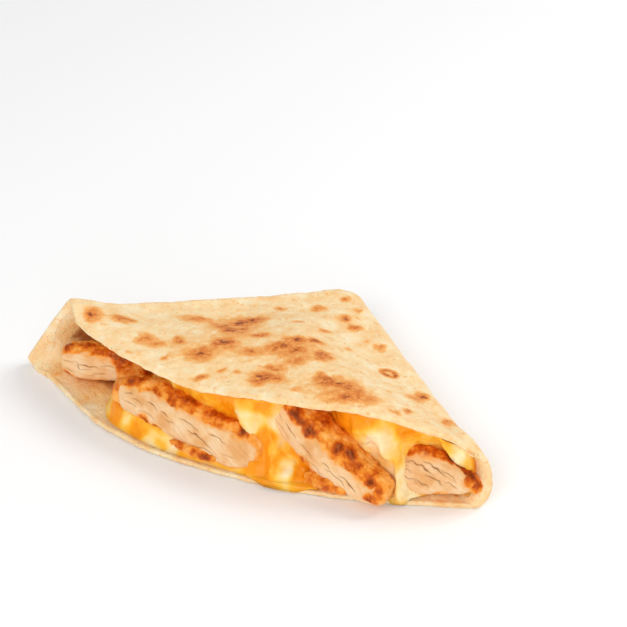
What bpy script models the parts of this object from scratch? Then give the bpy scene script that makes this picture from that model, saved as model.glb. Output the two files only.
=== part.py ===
"""A wedge of chicken quesadilla: one folded flour tortilla, melted cheese and strips of browned chicken breast.

The wedge lies flat. Its apex points to +Y, the tortilla's round rim faces -Y, and the tortilla is folded
along both straight sides, so the filling shows only along the rim. Units are metres, +Z is up, and the
origin is at the middle of the footprint.
"""

import math

import bmesh
import bpy
from mathutils import Vector, noise

MM = 0.001
GAP = 0.3 * MM  # left between touching pieces
CHEESE_GAP = 0.6 * MM  # left between the cheese and the tortilla, which turns a tight corner at the apex

# The tortilla
RIM_RADIUS = 127.0 * MM  # a tortilla 254 mm across
RIM_CENTRE = Vector((0.0, 89.4)) * MM  # centre of the rim's arc in plan
SHEET = 2.1 * MM  # thickness of the baked dough
APEX = Vector((6.8, 39.6)) * MM
LEFT_END = Vector((-67.3, -15.2)) * MM  # outermost points of the two folds, where they open at the rim
RIGHT_END = Vector((67.3, -20.8)) * MM
CORNER_REACH = 6.0 * MM  # how far from the apex its rounding starts
LEFT_BOW, RIGHT_BOW = 1.4 * MM, -0.6 * MM  # the folds bow outwards by this much
BOTTOM_RIM_X = (-63.4 * MM, 63.6 * MM)
TOP_RIM_X = (-49.6 * MM, 63.2 * MM)
END_SLANT = 0.072  # the left end's cut leans: its top starts this share of the fold further in
FOLD_ZONE = 0.3  # share of a strip's parameter that goes round the fold
# Profiles along the fold, from the left end (0) through the apex (near 0.5) to the right end (1)
FOLD_HEIGHT = (
    (0.0, 22.8),
    (0.05, 20.4),
    (0.1, 18.0),
    (0.3, 14.6),
    (0.42, 13.7),
    (0.5, 13.8),
    (0.75, 15.5),
    (0.92, 16.4),
    (1.0, 16.6),
)
FOLD_WIDEST = ((0.0, 2.6), (0.1, 5.5), (0.5, 6.0), (1.0, 7.0))  # height of the fold's outermost line
FOLD_DEPTH = ((0.0, 5.5), (0.1, 6.0), (0.5, 6.0), (0.92, 6.6), (1.0, 4.6))  # how far in the fold's arc reaches
TOP_RIM_HEIGHT = (
    (0.0, 21.5),
    (0.1, 21.0),
    (0.25, 21.0),
    (0.42, 22.8),
    (0.6, 25.0),
    (0.72, 25.2),
    (0.85, 24.4),
    (0.95, 20.6),
    (1.0, 17.0),
)
TOP_SETBACK = ((0.0, 8.8), (0.12, 7.2), (0.35, 5.5), (0.6, 4.0), (0.85, 1.4), (1.0, -1.9))
BOTTOM_SETBACK = (
    (0.0, 2.6),
    (0.04, 3.3),
    (0.08, 2.5),
    (0.13, 1.3),
    (0.21, -0.2),
    (0.35, -0.5),
    (0.5, 0.0),
    (0.75, -0.5),
    (0.9, -1.6),
    (1.0, -2.6),
)
BOTTOM_LIFT = ((0.0, 0.8), (0.15, 1.0), (0.35, 0.5), (0.5, 0.3), (1.0, 0.4))
TOP_CROWN = ((0.0, 0.4), (0.3, 1.8), (0.6, 2.2), (0.85, 1.2), (1.0, 0.0))  # rise of the sheet over the filling
CALM_REACH = 12.0 * MM  # a stretch of sheet shorter than this is calmer: less wavy and less steep
EVENED = 0.7  # share of the step from the fold up to the rim that the shortest stretches lose
TIP_ROUNDNESS = 1.5  # the fold's lower half reaches in at most this many times its height
STRIPS_LEFT, STRIPS_CORNER, STRIPS_RIGHT = 14, 4, 14
SHEET_STEPS, FOLD_STEPS = 9, 8

# The melted cheese
CHEESE_SPAN = (0.16, 0.94)
CHEESE_STEPS = 30
CHEESE_FRONT_STEPS = 6
CHEESE_BOTTOM_SETBACK = (
    (0.0, 24.0),
    (0.16, 18.0),
    (0.2, 10.0),
    (0.24, 5.4),
    (0.3, 2.8),
    (0.45, 2.0),
    (0.57, 0.9),
    (0.65, 0.9),
    (0.7, 2.0),
    (0.78, 2.0),
    (0.86, 0.9),
    (0.91, 3.4),
    (1.0, 4.0),
)
CHEESE_TOP_SETBACK = ((0.0, 10.0), (0.2, 7.0), (0.35, 3.4), (0.6, 2.6), (0.8, 3.0), (1.0, 3.0))
CHEESE_HOLLOW = (
    (0.16, 5.0),
    (0.25, 6.0),
    (0.45, 6.5),
    (0.53, 5.0),
    (0.6, 0.8),
    (0.66, 3.0),
    (0.74, 5.0),
    (0.82, 2.4),
    (0.86, 0.6),
    (0.9, 2.0),
    (0.94, 0.5),
    (1.0, 0.5),
)

# The chicken strips: points of the centreline, half width and half height at its start, middle and end (mm), and
# how far the strip leans back (degrees)
CHICKEN = {
    "chicken_strip_1": (
        ((-54.0, -17.3, 7.4), (-44.0, -15.2, 7.8), (-32.0, -12.2, 8.2)),
        (4.2, 4.6, 4.4),
        (4.4, 4.8, 4.8),
        22.0,
    ),
    "chicken_strip_2": (
        ((-33.6, -26.2, 9.0), (-23.0, -27.4, 10.0), (-11.6, -29.8, 9.2), (0.0, -31.8, 7.9), (11.0, -32.6, 7.0)),
        (4.4, 4.6, 3.8),
        (4.4, 5.6, 4.8),
        26.0,
    ),
    "chicken_strip_3": (
        (
            (8.8, -25.3, 14.2),
            (15.8, -27.2, 12.8),
            (23.0, -28.9, 10.4),
            (30.3, -30.2, 9.0),
            (37.7, -31.6, 7.2),
            (44.6, -32.6, 6.6),
        ),
        (4.2, 4.8, 4.2),
        (3.8, 6.0, 4.2),
        30.0,
    ),
    "chicken_strip_4": (
        ((38.6, -22.6, 6.8), (45.6, -23.4, 8.2), (52.6, -23.2, 8.2), (58.4, -21.9, 7.0), (63.4, -20.9, 5.8)),
        (3.4, 4.6, 2.4),
        (3.4, 5.2, 2.4),
        28.0,
    ),
    "chicken_crumb_1": (((-14.0, -34.6, 4.6), (0.2, -35.4, 4.4)), (1.7, 2.0, 1.7), (1.4, 1.7, 1.4), 0.0),
    "chicken_crumb_2": (((22.6, -33.0, 4.6), (35.0, -34.4, 4.5)), (1.7, 2.1, 1.7), (1.4, 1.8, 1.5), 0.0),
}
TRIMMED_BY = {"chicken_crumb_1": "chicken_strip_2", "chicken_crumb_2": "chicken_strip_3"}
RING_POINTS = 16
RINGS = 13
END_BLUNTNESS = 3.2  # exponent of the superellipse that closes a strip's ends
SECTION_SQUARENESS = 2.8  # exponent of the superellipse of its cross-section
LUMP_SIZE = 9.0 * MM
LUMP_DEPTH = 0.11  # share of the radius


def clamp(value, low=0.0, high=1.0):
    return max(low, min(high, value))


def smooth(t):
    t = clamp(t)
    return t * t * (3.0 - 2.0 * t)


def along(stations, u):
    """A smooth curve through the stations (place, millimetres), read at u, in metres."""
    places = [place for place, _ in stations]
    heights = [height for _, height in stations]
    last = len(places) - 1
    i = max(k for k in range(last) if k == 0 or places[k] <= u)

    def slope(k):
        a, b = max(k - 1, 0), min(k + 1, last)
        return (heights[b] - heights[a]) / (places[b] - places[a])

    width = places[i + 1] - places[i]
    t = clamp((u - places[i]) / width)
    t2, t3 = t * t, t * t * t
    value = (
        (2 * t3 - 3 * t2 + 1) * heights[i]
        + (t3 - 2 * t2 + t) * width * slope(i)
        + (3 * t2 - 2 * t3) * heights[i + 1]
        + (t3 - t2) * width * slope(i + 1)
    )
    return value * MM


def side_point(end, share):
    """A point on the bowed fold between the apex (0) and one end (1), in plan."""
    side = end - APEX
    outwards = Vector((side.y, -side.x)).normalized()
    if outwards.y < 0:
        outwards = -outwards
    bow = LEFT_BOW if end.x < APEX.x else RIGHT_BOW
    return APEX + side * share + outwards * bow * 4.0 * share * (1.0 - share)


def fold_lengths():
    left = (LEFT_END - APEX).length - CORNER_REACH
    right = (RIGHT_END - APEX).length - CORNER_REACH
    return left, 1.5 * CORNER_REACH, right


def fold_point(u):
    """The outermost line of the two folds in plan, from the left end (0) round the apex to the right end (1)."""
    left, corner, right = fold_lengths()
    run = clamp(u) * (left + corner + right)
    left_whole, right_whole = left + CORNER_REACH, right + CORNER_REACH
    if run < left:
        return side_point(LEFT_END, 1.0 - run / left_whole)
    if run > left + corner:
        return side_point(RIGHT_END, (run - left - corner + CORNER_REACH) / right_whole)
    t = (run - left) / corner
    start = side_point(LEFT_END, CORNER_REACH / left_whole)
    end = side_point(RIGHT_END, CORNER_REACH / right_whole)
    return start * (1 - t) ** 2 + APEX * 2 * t * (1 - t) + end * t * t


def rim_point(x, setback):
    """A point at x on the rim's arc, or inside it by setback, in plan."""
    radius = RIM_RADIUS - setback
    return Vector((x, RIM_CENTRE.y - math.sqrt(radius**2 - x**2)))


def bottom_rim(u):
    x = BOTTOM_RIM_X[0] + (BOTTOM_RIM_X[1] - BOTTOM_RIM_X[0]) * u
    return rim_point(x, along(BOTTOM_SETBACK, u))


def top_rim(u):
    x = TOP_RIM_X[0] + (TOP_RIM_X[1] - TOP_RIM_X[0]) * u
    return rim_point(x, along(TOP_SETBACK, u))


def waviness(x, y):
    """The slow unevenness of the baked sheet, in metres."""
    return 0.45 * MM * (math.sin(x / (7.5 * MM) + 1.3) * math.cos(y / (9.0 * MM)) + math.sin((x + y) / (5.2 * MM)))


def fold_depth(u, v, reach):
    """How far in the fold's arc reaches, above its outermost line (v > 0) or below it."""
    depth = min(along(FOLD_DEPTH, u), 0.9 * reach)
    return depth if v > 0 else min(depth, TIP_ROUNDNESS * along(FOLD_WIDEST, u))


def outer_point(u, v):
    """The tortilla's outer face. u runs along the folds; v from the lower rim (-1) round the fold (0) to the upper (1)."""
    turn = clamp(v / FOLD_ZONE, -1.0, 1.0)
    angle = turn * math.pi / 2
    upper = smooth((turn + 1.0) / 2.0)
    fold = fold_point(u + (1.0 - u) * END_SLANT * max(0.0, math.sin(angle)))
    towards = (bottom_rim(u) - fold).lerp(top_rim(u) - fold, upper)
    reach = towards.length
    towards.normalize()
    widest = along(FOLD_WIDEST, u)
    depth = fold_depth(u, v, reach)
    calm = smooth((reach - depth) / CALM_REACH)
    height = along(FOLD_HEIGHT, u)
    height += (along(TOP_RIM_HEIGHT, u) - height) * EVENED * (1.0 - calm)
    inwards = depth * (1.0 - math.cos(angle))
    if v < 0:
        z = widest * (1.0 + math.sin(angle))
    else:
        z = widest + (height - widest) * math.sin(angle)
    share = clamp((abs(v) - FOLD_ZONE) / (1.0 - FOLD_ZONE))
    inwards += share * (reach - depth)
    place = fold + towards * inwards
    if share > 0 and v < 0:
        z = along(BOTTOM_LIFT, u) * clamp((share - 0.7) / 0.3) ** 2 * calm
    elif share > 0:
        z += (along(TOP_RIM_HEIGHT, u) - height) * smooth(share)
        z += along(TOP_CROWN, u) * math.sin(math.pi * share) ** 2 * calm
        z += waviness(place.x, place.y) * smooth(4.0 * share) * calm
    return Vector((place.x, place.y, z))


def inner_point(u, v, depth):
    """The point at this depth under the tortilla's outer face."""
    step = 0.004
    u0, u1 = clamp(u - step), clamp(u + step)
    v0, v1 = clamp(v - step, -1.0), clamp(v + step, -1.0)
    normal = (outer_point(u, v1) - outer_point(u, v0)).cross(outer_point(u1, v) - outer_point(u0, v))
    return outer_point(u, v) - normal.normalized() * depth


def fold_stations():
    """Values of u along the folds, closer together round the apex."""
    left, corner, right = fold_lengths()
    whole = left + corner + right
    bounds = (0.0, left / whole, (left + corner) / whole, 1.0)
    stations = []
    for k, steps in enumerate((STRIPS_LEFT, STRIPS_CORNER, STRIPS_RIGHT)):
        stations += [bounds[k] + (bounds[k + 1] - bounds[k]) * i / steps for i in range(steps)]
    return stations + [1.0]


def strip_stations(bottom=1.0, top=1.0):
    """Values of v across a strip, from -bottom to top, closer together round the fold."""
    values = [-bottom + (bottom - FOLD_ZONE) * i / SHEET_STEPS for i in range(SHEET_STEPS)]
    values += [-FOLD_ZONE + 2 * FOLD_ZONE * i / FOLD_STEPS for i in range(FOLD_STEPS)]
    values += [FOLD_ZONE + (top - FOLD_ZONE) * i / SHEET_STEPS for i in range(SHEET_STEPS + 1)]
    return values


def new_object(name, bm, collection, material=None):
    mesh = bpy.data.meshes.new(name)
    bm.to_mesh(mesh)
    bm.free()
    obj = bpy.data.objects.new(name, mesh)
    collection.objects.link(obj)
    if material:
        mesh.materials.append(material)
    mesh.shade_smooth()
    mesh.set_sharp_from_angle(angle=math.radians(50))
    return obj


def bridge_rows(bm, rows, closed_rows=False):
    """Quads between neighbouring rows of points, each row closed into a ring or left open."""
    for row, following in zip(rows, rows[1:]):
        count = len(row)
        for i in range(count if closed_rows else count - 1):
            j = (i + 1) % count
            bm.faces.new((row[i], row[j], following[j], following[i]))


def build_tortilla(collection, material):
    bm = bmesh.new()
    rows = [[bm.verts.new(outer_point(u, v)) for v in strip_stations()] for u in fold_stations()]
    bridge_rows(bm, rows)
    tortilla = new_object("tortilla", bm, collection, material)
    solidify = tortilla.modifiers.new("Solidify", "SOLIDIFY")
    solidify.thickness = SHEET
    solidify.offset = -1.0
    solidify.use_quality_normals = True
    return tortilla


def share_at(u, v_sign, setback):
    """The v that lies setback inside one of the rims."""
    fold = fold_point(u + (1.0 - u) * END_SLANT * (v_sign > 0))
    reach = ((top_rim(u) if v_sign > 0 else bottom_rim(u)) - fold).length
    depth = fold_depth(u, v_sign, reach)
    share = clamp(1.0 - setback / max(reach - depth, setback * 1.1))
    return FOLD_ZONE + share * (1.0 - FOLD_ZONE)


def cheese_ring(u):
    """One closed ring of points: round the inside of the fold, then down the open front."""
    bottom = share_at(u, -1, along(CHEESE_BOTTOM_SETBACK, u))
    top = share_at(u, 1, along(CHEESE_TOP_SETBACK, u))
    ring = [inner_point(u, v, SHEET + CHEESE_GAP) for v in strip_stations(bottom, top)]
    first, last = ring[0], ring[-1]
    back = Vector((0.0, 1.0, 0.0))
    for i in range(1, CHEESE_FRONT_STEPS):
        t = i / CHEESE_FRONT_STEPS
        ring.append(last.lerp(first, t) + back * along(CHEESE_HOLLOW, u) * math.sin(math.pi * t))
    return ring


def build_cheese(collection, material):
    bm = bmesh.new()
    start, end = CHEESE_SPAN
    stations = [start + (end - start) * i / CHEESE_STEPS for i in range(CHEESE_STEPS + 1)]
    rows = [[bm.verts.new(point) for point in cheese_ring(u)] for u in stations]
    bridge_rows(bm, rows, closed_rows=True)
    bm.faces.new(rows[0])
    bm.faces.new(rows[-1])
    bmesh.ops.recalc_face_normals(bm, faces=bm.faces)
    bmesh.ops.triangulate(bm, faces=[f for f in bm.faces if len(f.verts) > 4])
    return new_object("melted_cheese", bm, collection, material)


def strip_rings(line, widths, heights, lean, grow=0.0):
    """Rings of points round a chicken strip, blunt at both ends and uneven along its length."""
    last = len(line) - 1
    ways = [[(i / last, point[k]) for i, point in enumerate(line)] for k in range(3)]

    def centre(t):
        return Vector([along(way, clamp(t)) for way in ways])

    def thickness(sizes, t):
        return along([(0.5 * i, size) for i, size in enumerate(sizes)], t)

    tilt = math.radians(lean)
    rings = []
    for i in range(RINGS + 1):
        t = 0.5 - 0.5 * math.cos(math.pi * (0.04 + 0.92 * i / RINGS))
        ahead = (centre(t + 0.02) - centre(t - 0.02)).normalized()
        side = ahead.cross(Vector((0, 0, 1))).normalized()
        up = side.cross(ahead)
        across = side * math.cos(tilt) + up * math.sin(tilt)
        upright = up * math.cos(tilt) - side * math.sin(tilt)
        blunt = (1.0 - abs(2.0 * t - 1.0) ** END_BLUNTNESS) ** (1.0 / END_BLUNTNESS)
        middle = centre(t) + ahead * grow * (2.0 * t - 1.0)
        ring = []
        for k in range(RING_POINTS):
            angle = 2.0 * math.pi * k / RING_POINTS
            c, s = math.cos(angle), math.sin(angle)
            round_off = (abs(c) ** SECTION_SQUARENESS + abs(s) ** SECTION_SQUARENESS) ** (-1.0 / SECTION_SQUARENESS)
            unit = (across * c * thickness(widths, t) + upright * s * thickness(heights, t)) * round_off
            lump = 1.0 + LUMP_DEPTH * noise.noise((middle + unit) / LUMP_SIZE)
            ring.append(middle + unit * blunt * lump + unit.normalized() * grow)
        rings.append(ring)
    return rings


def build_strip(name, sizes, collection, material=None, grow=0.0):
    bm = bmesh.new()
    rows = [[bm.verts.new(point) for point in ring] for ring in strip_rings(*sizes, grow=grow)]
    bridge_rows(bm, rows, closed_rows=True)
    for row in (rows[0], rows[-1]):
        middle = bm.verts.new(sum((v.co for v in row), Vector()) / len(row))
        for i in range(len(row)):
            bm.faces.new((row[i], row[(i + 1) % len(row)], middle))
    bmesh.ops.recalc_face_normals(bm, faces=bm.faces)
    return new_object(name, bm, collection, material)


def cut(target, cutter):
    """Cuts a hidden helper out of target."""
    cutter.hide_render = True
    cutter.display_type = "WIRE"
    boolean = target.modifiers.new(cutter.name, "BOOLEAN")
    boolean.operation = "DIFFERENCE"
    boolean.solver = "EXACT"
    boolean.object = cutter


def food_material(name, colour, roughness):
    material = bpy.data.materials.new(name)
    material.use_nodes = True
    shader = material.node_tree.nodes["Principled BSDF"]
    shader.inputs["Base Color"].default_value = (*colour, 1.0)
    shader.inputs["Roughness"].default_value = roughness
    shader.inputs["Metallic"].default_value = 0.0
    return material


def new_collection(name):
    collection = bpy.data.collections.new(name)
    bpy.context.scene.collection.children.link(collection)
    return collection


def main():
    for obj in list(bpy.data.objects):
        bpy.data.objects.remove(obj)
    parts = new_collection("quesadilla_wedge")
    cutters = new_collection("cutters")
    dough = food_material("baked_dough", (0.86, 0.68, 0.42), 0.75)
    cheese = food_material("melted_cheese", (0.93, 0.58, 0.14), 0.3)
    chicken = food_material("browned_chicken", (0.72, 0.42, 0.2), 0.55)
    build_tortilla(parts, dough)
    filling = build_cheese(parts, cheese)
    strips = {name: build_strip(name, sizes, parts, chicken) for name, sizes in CHICKEN.items()}
    moulds = {name: build_strip(name + "_cutter", sizes, cutters, grow=GAP) for name, sizes in CHICKEN.items()}
    for mould in moulds.values():
        cut(filling, mould)
    for crumb, strip in TRIMMED_BY.items():
        cut(strips[crumb], moulds[strip])


main()
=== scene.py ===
"""The looks of a wedge of chicken quesadilla: a toasted tortilla folded round cheese and browned chicken.

Lengths in the shapes are millimetres, turned into metres when a mesh is made. The wedge lies on the floor
with its apex towards +Y and its open round rim towards -Y. u runs along the two folds, from the left end (0)
round the apex to the right end (1). v runs across the sheet, from its lower rim (-1) round the fold (0) to
its upper rim (1).
"""

import math
from types import SimpleNamespace

import bpy
import numpy as np
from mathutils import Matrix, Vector, noise


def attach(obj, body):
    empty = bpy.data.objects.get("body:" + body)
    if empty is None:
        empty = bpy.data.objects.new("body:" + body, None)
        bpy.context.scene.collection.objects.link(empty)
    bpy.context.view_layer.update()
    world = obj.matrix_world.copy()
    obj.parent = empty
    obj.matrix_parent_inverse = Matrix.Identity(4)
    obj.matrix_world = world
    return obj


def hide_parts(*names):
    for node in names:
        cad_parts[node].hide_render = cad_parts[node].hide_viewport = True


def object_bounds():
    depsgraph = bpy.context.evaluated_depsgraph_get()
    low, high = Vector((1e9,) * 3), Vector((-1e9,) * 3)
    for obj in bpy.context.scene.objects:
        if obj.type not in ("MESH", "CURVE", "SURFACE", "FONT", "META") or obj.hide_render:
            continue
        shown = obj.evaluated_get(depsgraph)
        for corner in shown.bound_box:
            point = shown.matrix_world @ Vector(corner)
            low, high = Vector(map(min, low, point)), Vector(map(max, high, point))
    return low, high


MM = 0.001

# The tortilla's form, as in the frame. Tables pair a place along u with a length in mm.
RIM_RADIUS = 127.0
RIM_CENTRE_Y = 89.4
SHEET = 2.1  # thickness
APEX = np.array((6.8, 39.6))
LEFT_END = np.array((-67.3, -15.2))
RIGHT_END = np.array((67.3, -20.8))
CORNER_REACH = 6.0  # how far from the apex the folds start to round it off
LEFT_BOW, RIGHT_BOW = 1.4, -0.6  # how far the middle of each side bows outwards
BOTTOM_RIM_X = (-63.4, 63.6)  # where the lower rim begins and ends
TOP_RIM_X = (-49.6, 63.2)
RIM_LENGTH = 125.0
END_SLANT = 0.072  # how much further along the folds the upper sheet begins at the left end
FOLD_ZONE = 0.3  # the fold takes up v from -0.3 to 0.3
# The fold's arc: the height at which it meets the upper sheet, the height of its outermost line, and how
# far in it reaches
FOLD_HEIGHT = (
    (0.0, 22.8), (0.05, 20.4), (0.1, 18.0), (0.3, 14.6), (0.42, 13.7), (0.5, 13.8), (0.75, 15.5),
    (0.92, 16.4), (1.0, 16.6),
)
FOLD_WIDEST = ((0.0, 2.6), (0.1, 5.5), (0.5, 6.0), (1.0, 7.0))
FOLD_DEPTH = ((0.0, 5.5), (0.1, 6.0), (0.5, 6.0), (0.92, 6.6), (1.0, 4.6))
# The rims: how high the upper one is, and how far each lies inside the circle
TOP_RIM_HEIGHT = (
    (0.0, 21.5), (0.1, 21.0), (0.25, 21.0), (0.42, 22.8), (0.6, 25.0), (0.72, 25.2), (0.85, 24.4),
    (0.95, 20.6), (1.0, 17.0),
)
TOP_SETBACK = ((0.0, 8.8), (0.12, 7.2), (0.35, 5.5), (0.6, 4.0), (0.85, 1.4), (1.0, -1.9))
BOTTOM_SETBACK = (
    (0.0, 2.6), (0.04, 3.3), (0.08, 2.5), (0.13, 1.3), (0.21, -0.2), (0.35, -0.5), (0.5, 0.0),
    (0.75, -0.5), (0.9, -1.6), (1.0, -2.6),
)
# How far the lower rim stands off the floor, and how far the upper sheet rises between fold and rim
BOTTOM_LIFT = ((0.0, 0.8), (0.15, 1.0), (0.35, 0.5), (0.5, 0.3), (1.0, 0.4))
TOP_CROWN = ((0.0, 0.4), (0.3, 1.8), (0.6, 2.2), (0.85, 1.2), (1.0, 0.0))
CALM_REACH = 12.0  # a stretch of sheet shorter than this is less wavy, less steep and less ragged
EVENED = 0.7  # share of the step from the fold up to the rim that the shortest stretches lose
TIP_ROUNDNESS = 1.5  # the fold's lower half reaches in at most this many times its height
RIM_THINNING = 0.36  # share of the thickness that the sheet loses at its baked-out rim

# Toasted patches on the upper sheet: x, y, half width, half depth, how dark
TOAST = (
    (-46, -14, 1.7, 2.7, 0.75), (-39, -11, 2.4, 2.0, 0.6), (-29, -17, 2.4, 2.7, 0.5),
    (-30, -25, 0.8, 1.3, 0.35), (-21, -14, 1.5, 1.8, 0.8), (-23, 0, 3.7, 2.4, 0.55),
    (-20, -23, 1.0, 1.1, 0.6), (-13, -19, 3.5, 2.9, 0.75), (-11, 4, 3.1, 2.9, 0.9),
    (-11, -3, 3.4, 2.5, 0.85), (-15, -1, 2.5, 2.0, 0.6), (-9, 7, 2.5, 2.0, 0.6),
    (-9, -12, 2.5, 2.7, 0.85), (-8, -28, 2.0, 0.9, 0.65), (-4, -24, 0.8, 0.7, 0.5),
    (0, -24, 0.8, 0.7, 0.35), (-1, -14, 2.5, 1.5, 0.65), (-3, -4, 2.3, 1.1, 0.8),
    (-6, 16, 1.7, 1.3, 0.55), (3, 7, 1.5, 1.0, 0.5), (3, 21, 2.3, 1.8, 0.55), (8, 29, 1.1, 1.0, 0.55),
    (12, 19, 1.4, 1.2, 0.85), (16, 16, 1.7, 1.4, 0.8), (13, 25, 1.0, 1.1, 0.4), (11, 7, 1.4, 1.2, 0.65),
    (8, -5, 2.8, 2.0, 0.8), (12, -2, 2.0, 1.1, 0.75), (5, -9, 3.4, 1.8, 0.85), (9, -10, 2.3, 1.3, 0.85),
    (16, -8, 1.7, 1.7, 0.85), (18, -10, 1.4, 1.3, 0.8), (12, -14, 2.8, 2.0, 0.5), (8, -18, 2.0, 1.0, 0.6),
    (8, -24, 3.5, 2.6, 0.9), (20, -18, 1.0, 0.9, 0.5), (23, -20, 3.4, 1.8, 0.6), (28, -21, 3.9, 2.0, 0.7),
    (31, -25, 5.4, 2.5, 0.75), (18, -26, 0.8, 0.7, 0.4), (19, 3, 1.1, 1.0, 0.35),
    (25, 10, 1.5, 1.4, 0.55), (42, -9, 2.0, 2.0, 0.45), (43, -6, 1.4, 1.4, 0.8), (43, -25, 1.4, 0.9, 0.5),
    (45, -21, 1.1, 1.1, 0.75), (53, -13, 1.7, 1.6, 0.65), (37, -14, 0.8, 0.6, 0.35),
    (21, 11, 0.8, 0.7, 0.35), (-25, -18, 1.7, 1.0, 0.45),
)
TOAST_TURN = 23.0  # degrees that the patches' long way is turned from +X
TOAST_RING = (32.0, -1.0, 1.7, 1.9, 0.95)  # a burst blister: a dark ring round a pale middle


# ---------------------------------------------------------------- shapes worked out along the sheet


def smooth(t):
    """An even step from 0 to 1 that starts and ends gently."""
    t = np.clip(t, 0.0, 1.0)
    return t * t * (3.0 - 2.0 * t)


def along(stations, u):
    """A smooth curve through the stations (place, value), read at every u."""
    places, values = np.array(stations, float).T
    before = np.clip(np.arange(len(places)) - 1, 0, None)
    after = np.clip(np.arange(len(places)) + 1, None, len(places) - 1)
    slopes = (values[after] - values[before]) / (places[after] - places[before])
    i = np.clip(np.searchsorted(places, u, side="right") - 1, 0, len(places) - 2)
    width = places[i + 1] - places[i]
    t = np.clip((u - places[i]) / width, 0.0, 1.0)
    t2, t3 = t * t, t * t * t
    return (
        (2 * t3 - 3 * t2 + 1) * values[i]
        + (t3 - 2 * t2 + t) * width * slopes[i]
        + (3 * t2 - 2 * t3) * values[i + 1]
        + (t3 - t2) * width * slopes[i + 1]
    )


def side_point(end, bow, share):
    """Points on a bowed fold between the apex (0) and one end (1), in plan."""
    side = end - APEX
    outwards = np.array((side[1], -side[0])) / np.hypot(*side)
    if outwards[1] < 0:
        outwards = -outwards
    share = share[..., None]
    return APEX + side * share + outwards * bow * 4.0 * share * (1.0 - share)


def fold_lengths():
    """How long the left fold, the rounded corner and the right fold are."""
    left = np.hypot(*(LEFT_END - APEX)) - CORNER_REACH
    right = np.hypot(*(RIGHT_END - APEX)) - CORNER_REACH
    return left, 1.5 * CORNER_REACH, right


def fold_point(u):
    """The outermost line of the two folds in plan."""
    left, corner, right = fold_lengths()
    run = np.clip(u, 0.0, 1.0) * (left + corner + right)
    on_left = side_point(LEFT_END, LEFT_BOW, 1.0 - run / (left + CORNER_REACH))
    on_right = side_point(RIGHT_END, RIGHT_BOW, (run - left - corner + CORNER_REACH) / (right + CORNER_REACH))
    start = side_point(LEFT_END, LEFT_BOW, np.array(CORNER_REACH / (left + CORNER_REACH)))
    end = side_point(RIGHT_END, RIGHT_BOW, np.array(CORNER_REACH / (right + CORNER_REACH)))
    t = ((run - left) / corner)[..., None]
    on_corner = start * (1 - t) ** 2 + APEX * 2 * t * (1 - t) + end * t * t
    run = run[..., None]
    return np.where(run < left, on_left, np.where(run > left + corner, on_right, on_corner))


def rim_point(x, setback):
    """Points of the round rim in plan, this far inside its circle."""
    radius = RIM_RADIUS - setback
    return np.stack([x, RIM_CENTRE_Y - np.sqrt(radius**2 - x**2)], -1)


def raggedness(u, seed):
    """How far the torn edge of the dough stands out at u."""
    spots = np.stack([u * RIM_LENGTH, np.full_like(u, seed), np.zeros_like(u)], -1)
    return 0.5 * cloud(spots, 7.0, seed) + 0.28 * cloud(spots, 2.2, seed + 1)


def bottom_rim(u):
    x = BOTTOM_RIM_X[0] + (BOTTOM_RIM_X[1] - BOTTOM_RIM_X[0]) * u
    return rim_point(x, along(BOTTOM_SETBACK, u))


def top_rim(u):
    x = TOP_RIM_X[0] + (TOP_RIM_X[1] - TOP_RIM_X[0]) * u
    return rim_point(x, along(TOP_SETBACK, u))


def waviness(x, y):
    """The upper sheet's slow waves over the pieces under it."""
    return 0.45 * (np.sin(x / 7.5 + 1.3) * np.cos(y / 9.0) + np.sin((x + y) / 5.2))


def fold_depth(u, upper, reach):
    """How far in the fold's arc reaches on this side of its outermost line."""
    depth = np.minimum(along(FOLD_DEPTH, u), 0.9 * reach)
    return np.where(upper, depth, np.minimum(depth, TIP_ROUNDNESS * along(FOLD_WIDEST, u)))


def sheet_reach(u, upper):
    """How long the flat stretch of a strip is, from the fold's arc to the rim."""
    turned = np.where(upper, 1.0, 0.0)
    fold = fold_point(u + (1.0 - u) * END_SLANT * turned)
    towards = np.where(np.asarray(upper)[..., None], top_rim(u), bottom_rim(u)) - fold
    reach = np.linalg.norm(towards, axis=-1)
    return reach - fold_depth(u, upper, reach)


def outer_surface(u, v):
    """The tortilla's outer face."""
    u, v = np.broadcast_arrays(np.asarray(u, float), np.asarray(v, float))
    turn = np.clip(v / FOLD_ZONE, -1.0, 1.0)
    angle = turn * math.pi / 2
    upper = smooth((turn + 1.0) / 2.0)
    fold = fold_point(u + (1.0 - u) * END_SLANT * np.maximum(0.0, np.sin(angle)))
    towards = (bottom_rim(u) - fold) * (1 - upper)[..., None] + (top_rim(u) - fold) * upper[..., None]
    reach = np.linalg.norm(towards, axis=-1)
    towards = towards / reach[..., None]
    depth = fold_depth(u, v > 0, reach)
    calm = smooth((reach - depth) / CALM_REACH)
    height, widest, rim_height = along(FOLD_HEIGHT, u), along(FOLD_WIDEST, u), along(TOP_RIM_HEIGHT, u)
    height = height + (rim_height - height) * EVENED * (1.0 - calm)
    share = np.clip((np.abs(v) - FOLD_ZONE) / (1.0 - FOLD_ZONE), 0.0, 1.0)
    inwards = depth * (1.0 - np.cos(angle)) + share * (reach - depth)
    place = fold + towards * inwards[..., None]
    on_arc = widest + np.where(v < 0, widest, height - widest) * np.sin(angle)
    low = along(BOTTOM_LIFT, u) * np.clip((share - 0.7) / 0.3, 0.0, 1.0) ** 2 * calm
    high = (
        height
        + (rim_height - height) * smooth(share)
        + along(TOP_CROWN, u) * np.sin(math.pi * share) ** 2 * calm
        + waviness(place[..., 0], place[..., 1]) * smooth(4.0 * share) * calm
    )
    z = np.where(share > 0, np.where(v < 0, low, high), on_arc)
    return np.concatenate([place, z[..., None]], -1)


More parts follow.
